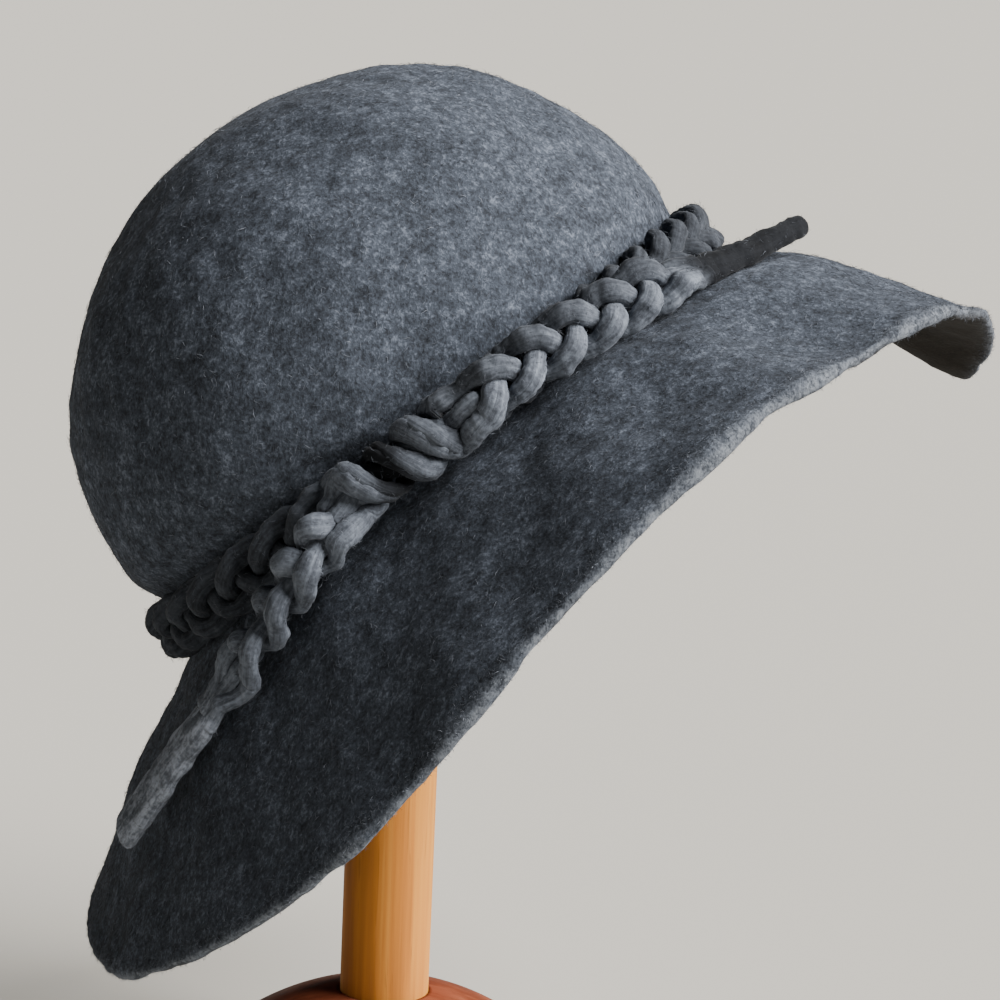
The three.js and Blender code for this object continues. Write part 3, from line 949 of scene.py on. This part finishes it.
    def dark_tail_and_painted_shade(self, azimuth: Array, across: Array) -> Array:
        """Share of the darker tone: darker felt along the right tail, and painted shade in the knot's hollow,
        on most of the band and on the upper row.

        Args:
            azimuth: azimuth of each point of a strand.
            across: place across the plait, from -1 at its lower edge to 1 at its upper edge.

        Returns:
            The largest of the four shares at each point.
        """
        first, last = self.runs[1].start, self.runs[1].end
        outer, inner = self.band_fade
        band = (smoothstep(azimuth, first - outer, first + inner)
                - smoothstep(azimuth, last - inner, last + outer))
        root = self.right_tail.root
        tail = smoothstep(azimuth, root - self.tail_fade, root + self.tail_fade)
        arm = smoothstep(azimuth, last, self.runs[2].start + self.tail_fade)
        upper = smoothstep(across, *self.upper_from) * arm
        return np.max([tail, self.band_painted_shade * band, self.hollow(azimuth), self.upper_row_painted_shade * upper], axis=0)

    def pale(self, azimuth: Array) -> Array:
        """Share of paler felt, which grows along the first part of the left tail."""
        return smoothstep(self.left_tail.part(azimuth), 0.0, self.pale_part)

    def tube(self, azimuth: Array, path: Array, facing: Array, swell: Array, marks: Mapping[str, Array],
             seed: int) -> Skin:
        """An oval tube along a path, wider in the tails, with round ends and soft dents.

        Args:
            azimuth: azimuth of each point.
            path: middle line in the hat's frame.
            facing: direction of the tube's flat side.
            swell: factor on the section of the plaited strand.
            marks: shares of the darker tone, which is mostly painted shade, and of paler felt along the tube.
            seed: seed of the dents.

        Returns:
            The skin of the tube.
        """
        along = unit(np.gradient(path, axis=0))
        flat = unit(facing - along * np.sum(facing * along, -1, keepdims=True))
        side = np.cross(along, flat)
        length = np.concatenate([[0], np.cumsum(np.linalg.norm(np.diff(path, axis=0), axis=-1))])
        uneven = 1 + Lumps(*self.uneven, seed).at(path)
        width = self.width * swell * uneven
        thickness = self.thickness * swell * uneven
        for tail in (self.left_tail, self.right_tail):
            part = tail.part(azimuth)
            widened = smoothstep(part * abs(tail.tip - tail.root), self.tail_neck, self.tail_widening)
            slim = 1 - (1 - tail.taper) * part
            width = width + (tail.width * slim - width) * widened
            thickness = thickness + (tail.thickness * slim - thickness) * widened
        ends = np.where(azimuth < self.knot_azimuth, self.left_tail.rounding, self.right_tail.rounding)
        to_end = np.clip(np.minimum(length, length[-1] - length) / ends, 0, 1)
        close = np.maximum(np.sqrt(1 - (1 - to_end) ** 2), self.blunt_tip)
        corner = -2 * np.pi * np.arange(self.sides) / self.sides
        oval = (side[:, None] * (np.sin(corner)[None, :, None] * (width * close / 2)[:, None, None])
                + flat[:, None] * (np.cos(corner)[None, :, None] * (thickness * close / 2)[:, None, None]))
        rings = path[:, None] + oval
        dents = sum(Lumps(*dent, seed + 1 + i).at(rings) for i, dent in enumerate(self.dents))
        rings = rings + unit(oval) * (dents * close[:, None])[..., None]
        around = np.linspace(0, self.girth * (self.width + self.thickness) / 2, self.sides + 1)
        spread = {name: np.broadcast_to(mark[:, None], rings.shape[:2]) for name, mark in marks.items()}
        first, last = self.hat.to_stand(path[0]), self.hat.to_stand(path[-1])
        return Skin(self.hat.to_stand(rings), first, last, spread, length, around)

    def strands(self) -> list[tuple[str, Skin]]:
        """The three strands: the first ends in the left tail and the second in the right one.

        Returns:
            The CAD node and the skin of each strand.
        """
        left, right = self.left_tail, self.right_tail
        left_end, right_end = left.root - self.merge, right.root + self.merge
        spans = ((left.tip, right_end), (left_end, right.tip), (left_end, right_end))
        return [(f"plait_strand_{i + 1}", self.strand(i / 3, *span)) for i, span in enumerate(spans)]


@dataclass
class WoodenStand:
    """Turned stand: a domed base, a round post and a rounded head under the crown."""

    base_radius: float = 58.0
    base_edge: float = 7.0
    base_rise: float = 25.0
    base_round: float = 2.0
    base_socket: float = 15.0
    post_radius: float = 13.75
    post_ease: float = 0.6
    head_radius: float = 42.0
    head_socket: float = 16.0
    socket_gap: float = 0.3
    axis_gap: float = 0.5
    top_gap: float = 0.02
    columns: int = 96
    dome_rows: int = 48
    rows: int = 40

    def turned(self, profile: Array) -> Skin:
        """Spins a profile round the upright axis.

        Args:
            profile: radius and height of each row, from the top down.

        Returns:
            The skin of the turned piece.
        """
        angle = np.linspace(0, 2 * np.pi, self.columns, endpoint=False)
        rings = np.stack([profile[:, :1] * np.cos(angle), profile[:, :1] * np.sin(angle),
                          np.broadcast_to(profile[:, 1:], (len(profile), self.columns))], -1)
        return Skin(rings, UP * profile[0, 1], UP * profile[-1, 1])

    def base(self) -> Skin:
        """Base from the middle of its underside over a rounded edge and the dome to the post's socket.

        Returns:
            The skin of the base.
        """
        dome = (self.base_radius ** 2 + self.base_rise ** 2) / (2 * self.base_rise)
        middle = self.base_edge + self.base_rise - dome
        corner = np.radians(np.linspace(-90, 0, 7))
        inset = self.base_radius - self.base_round
        edge = np.stack([inset + self.base_round * np.cos(corner), self.base_round * (1 + np.sin(corner))], 1)
        socket = self.post_radius + self.socket_gap
        sweep = np.linspace(math.acos(self.base_radius / dome), math.acos(socket / dome), self.dome_rows)
        top = np.stack([dome * np.cos(sweep), middle + dome * np.sin(sweep)], -1)
        under = np.array([[self.axis_gap, 0.0], [inset / 2, 0.0]])
        floor = top[-1, 1] - self.base_socket
        inside = np.array([[socket, floor], [self.axis_gap, floor]])
        return self.turned(np.concatenate([under, edge, top, inside])[::-1])

    def post(self) -> Skin:
        """Post between the two sockets, with its arrises just eased.

        Returns:
            The skin of the post.
        """
        low, high = (corner.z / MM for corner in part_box("stand_post"))
        rows = np.linspace(low + self.post_ease, high - self.post_ease, self.rows)
        wall = np.stack([np.full_like(rows, self.post_radius), rows], -1)
        eased = self.post_radius - self.post_ease
        foot = np.array([[self.axis_gap, low], [eased, low]])
        top = np.array([[eased, high], [self.axis_gap, high]])
        return self.turned(np.concatenate([foot, wall, top])[::-1])

    def head(self) -> Skin:
        """Rounded head: a ball cut flat below, with a socket for the post.

        Returns:
            The skin of the head.
        """
        low, high = (corner.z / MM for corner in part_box("stand_head"))
        middle = high - self.head_radius
        first = math.asin((low - middle) / self.head_radius)
        sweep = np.linspace(first, math.pi / 2 - self.top_gap, self.rows)
        ball = np.stack([self.head_radius * np.cos(sweep), middle + self.head_radius * np.sin(sweep)], -1)
        socket = self.post_radius + self.socket_gap
        roof = low + self.head_socket
        under = np.array([[self.axis_gap, roof], [socket, roof], [socket, low]])
        return self.turned(np.concatenate([under, ball])[::-1])


@dataclass
class Studio:
    """Plain pale floor, soft light from the right and a camera at the photograph's angle."""

    camera_place: tuple[float, float, float] = (29.4, -940.2, 352.2)
    camera_pitch: float = 10.0
    camera_roll: float = 2.5
    lens: float = 113.6
    clip_end_m: float = 1000.0
    floor_size: float = 400000.0
    floor_tone: str = "aeaca6"
    sky_tone: str = "dfe6ee"
    sky_strength: float = 0.03
    backdrop_tone: str = "f2f1ee"
    backdrop_strength: float = 1.15
    window_azimuth: float = -13.0
    window_height: float = 36.0
    window_spread: float = 53.0
    window_strength: float = 13.5
    window_tone: str = "fffbf6"

    def camera(self) -> None:
        """Sets up the camera, pitched down and rolled a little."""
        data = bpy.data.cameras.new("camera")
        data.lens = self.lens
        data.clip_end = self.clip_end_m
        obj = add_object("camera", data)
        aim = (Matrix.Rotation(math.radians(90 - self.camera_pitch), 4, "X")
               @ Matrix.Rotation(math.radians(self.camera_roll), 4, "Z"))
        obj.matrix_world = Matrix.Translation(Vector(self.camera_place) * MM) @ aim
        bpy.context.scene.camera = obj

    def lights(self) -> None:
        """Lets wide soft daylight in from the right, a little before the hat, under a weak sky."""
        data = bpy.data.lights.new("window_light", "SUN")
        data.energy = self.window_strength
        data.angle = math.radians(self.window_spread)
        data.color = linear(self.window_tone)[:3]
        obj = add_object("window_light", data)
        azimuth, height = math.radians(self.window_azimuth), math.radians(self.window_height)
        level = math.cos(height)
        toward = Vector((level * math.cos(azimuth), level * math.sin(azimuth), math.sin(height)))
        obj.matrix_world = Matrix.Translation(toward) @ toward.to_track_quat("Z", "Y").to_matrix().to_4x4()
        bpy.context.scene.world = self.sky()

    def sky(self) -> bpy.types.World:
        """Weak sky light, with a plain pale backdrop where the view goes past the floor.

        Returns:
            The new world.
        """
        world = bpy.data.worlds.new("soft_sky")
        world.use_nodes = True
        tree = world.node_tree
        tree.nodes.clear()
        light, backdrop = (
            add_node(tree, "Background", {"Color": linear(tone), "Strength": strength}).outputs["Background"]
            for tone, strength in ((self.sky_tone, self.sky_strength),
                                   (self.backdrop_tone, self.backdrop_strength)))
        seen = add_node(tree, "LightPath").outputs["Is Camera Ray"]
        both = add_node(tree, "MixShader", links={"Fac": seen, 1: light, 2: backdrop}).outputs["Shader"]
        add_node(tree, "OutputWorld", links={"Surface": both})
        return world

    def floor(self) -> None:
        """Lays the floor under the stand."""
        half = self.floor_size / 2 * MM
        corners = [(-half, -half, 0), (half, -half, 0), (half, half, 0), (-half, half, 0)]
        mesh = bpy.data.meshes.new("floor")
        mesh.from_pydata(corners, [], [(0, 1, 2, 3)])
        material, tree = new_material("matt_pale_floor")
        add_surface(tree, {"Base Color": linear(self.floor_tone), "Roughness": 0.9})
        mesh.materials.append(material)
        add_object("floor", mesh)


def main() -> None:
    """Builds the studio, the hat, its plait and the stand."""
    logging.basicConfig(level=logging.INFO, format="%(name)s %(message)s")
    studio = Studio()
    studio.camera()
    studio.lights()
    studio.floor()

    hat = FeltHat()
    felt_skin = hat.skin()
    fibres = WoolFibre().material()
    finish_piece(felt_skin.piece("hat_felt"), CharcoalFelt().material(), "charcoal_felt", "hat_body")
    brim, rim = hat.brim_row(), hat.rim_row()
    edge = slice(rim - 3, rim + hat.edge_rows + 3)
    flat = {"length": (1.2, 3.8), "lift": (2, 22)}
    for name, fuzz in (
        ("crown_fuzz", FeltFuzz(felt_skin, slice(0, brim), 26000, seed=21, tones=(0.0, 0.85), **flat)),
        ("brim_fuzz", FeltFuzz(felt_skin, slice(brim, rim), 30000, seed=22, tones=(0.0, 0.75), **flat)),
        ("rim_fuzz", FeltFuzz(felt_skin, edge, 14000, (0.7, 1.9), (5, 50), seed=23, tones=(0.25, 0.85))),
    ):
        finish_piece(fuzz.piece(name), fibres, "charcoal_felt")
    cord_felt = PlaitFelt().material()
    for seed, (node, skin) in enumerate(FeltPlait(hat).strands(), 31):
        finish_piece(skin.piece(f"{node}_felt"), cord_felt, "plait_felt", node)
        fuzz = FeltFuzz(skin, slice(0, len(skin.rings)), 7000, (1.0, 3.2), (2, 40), seed, tones=(0.2, 0.75))
        finish_piece(fuzz.piece(f"{node}_fuzz"), fibres, "plait_felt")

    stand = WoodenStand()
    honey = HONEY_BEECH.material()
    finish_piece(stand.base().piece("stand_base_wood"), BROWN_BEECH.material(), "brown_wood", "stand_base")
    finish_piece(stand.post().piece("stand_post_wood"), honey, "honey_wood", "stand_post")
    finish_piece(stand.head().piece("stand_head_wood"), honey, "honey_wood", "stand_head")


if __name__ == "__main__":
    main()
